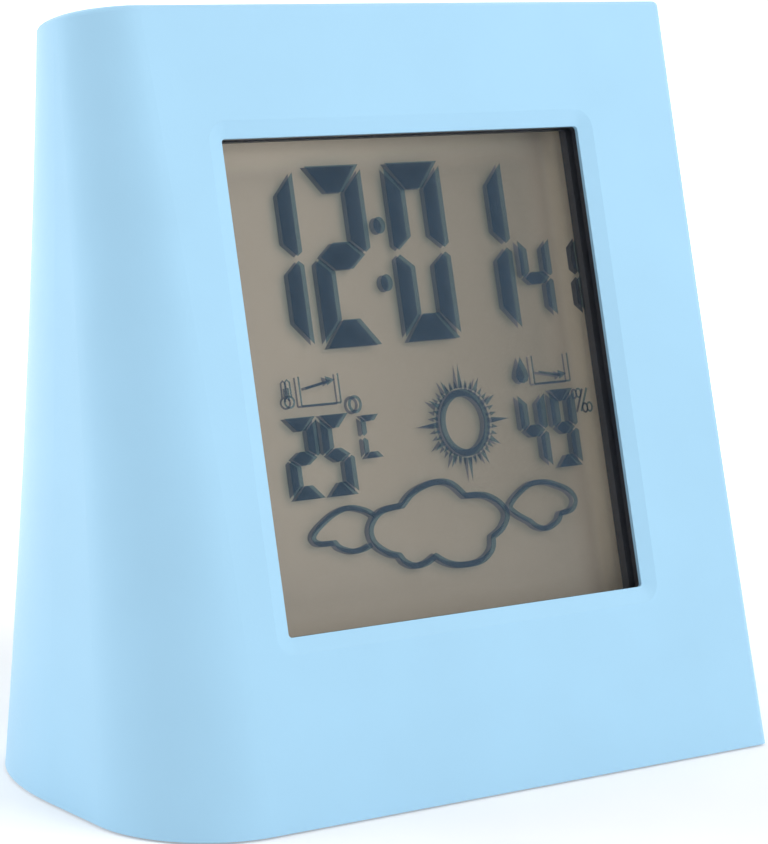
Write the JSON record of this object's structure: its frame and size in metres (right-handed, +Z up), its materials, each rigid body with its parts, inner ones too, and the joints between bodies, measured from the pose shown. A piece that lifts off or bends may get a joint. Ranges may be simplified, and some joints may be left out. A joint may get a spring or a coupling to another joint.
{
  "type": "thermometer hygrometer clock",
  "caption": "Table clock with a face that leans back, a large liquid crystal display for time, temperature and humidity, rear push buttons and a hinged battery door.",
  "frame": {"origin": "on the table under the middle of the casing's outline, at the feet's undersides", "axes": "+X runs to the right as seen by a person who reads the display, +Y runs from the display to the rear, +Z is up"},
  "size_m": [0.097, 0.056, 0.1002],
  "materials": {
    "casing_blue": "satin",
    "cover_blue": "satin",
    "clear_lens": "polished",
    "dark_frame": "satin",
    "display_glass": "polished",
    "reflector": "matte",
    "soft_strip": "matte",
    "foot_rubber": "matte",
    "pad_rubber": "matte",
    "button_white": "satin",
    "board_green": "satin",
    "chip_black": "gloss",
    "can_metal": "satin",
    "screw_steel": "plated",
    "contact_steel": "plated",
    "sounder_brass": "satin",
    "sounder_ceramic": "matte",
    "cell_skin": "gloss",
    "sensor_white": "matte",
    "bead_black": "gloss",
    "ribbon_grey": "satin",
    "lead_red": "satin",
    "lead_black": "satin"
  },
  "bodies": {
    "clock_body": {"casing": "casing_blue", "base_plate": "cover_blue", "rubber_feet": "foot_rubber", "base_screws": "screw_steel", "lens": "clear_lens", "display_frame": "dark_frame", "front_glass": "display_glass", "back_glass": "display_glass", "reflector_film": "reflector", "contact_strips": "soft_strip", "main_board": "board_green", "board_screws": "screw_steel", "main_chip": "chip_black", "quartz_crystal": "can_metal", "capacitors": "can_metal", "rear_cover": "cover_blue", "rear_screws": "screw_steel", "battery_cell_upper": "cell_skin", "battery_cell_lower": "cell_skin", "contact_positive": "contact_steel", "contact_negative": "contact_steel", "contact_bridge": "contact_steel", "key_pad": "pad_rubber", "key_board": "board_green", "key_board_screws": "screw_steel", "sounder_plate": "sounder_brass", "sounder_ceramic": "sounder_ceramic", "sensor_board": "board_green", "humidity_sensor": "sensor_white", "thermistor": "bead_black", "ribbon": "ribbon_grey", "battery_lead_red": "lead_red", "battery_lead_black": "lead_black"},
    "battery_door": {"battery_door": "cover_blue"},
    "button_mode": {"button_mode": "button_white"},
    "button_set": {"button_set": "button_white"},
    "button_up": {"button_up": "button_white"},
    "button_down": {"button_down": "button_white"}
  },
  "joints": [
    {"name": "battery_door_hinge", "type": "hinge", "parent": "clock_body", "child": "battery_door", "pos_m": [0.00445, 0.02721, 0.01538], "axis": [-1, 0, 0], "range_deg": [0, 35]},
    {"name": "mode_press", "type": "slide", "parent": "clock_body", "child": "button_mode", "axis": [0, -0.9986, -0.052], "range_m": [0, 0.0009], "stiffness_N_per_m": 400},
    {"name": "set_press", "type": "slide", "parent": "clock_body", "child": "button_set", "axis": [0, -0.9986, -0.052], "range_m": [0, 0.0009], "stiffness_N_per_m": 400},
    {"name": "up_press", "type": "slide", "parent": "clock_body", "child": "button_up", "axis": [0, -0.9986, -0.052], "range_m": [0, 0.0009], "stiffness_N_per_m": 400},
    {"name": "down_press", "type": "slide", "parent": "clock_body", "child": "button_down", "axis": [0, -0.9986, -0.052], "range_m": [0, 0.0009], "stiffness_N_per_m": 400}
  ]
}
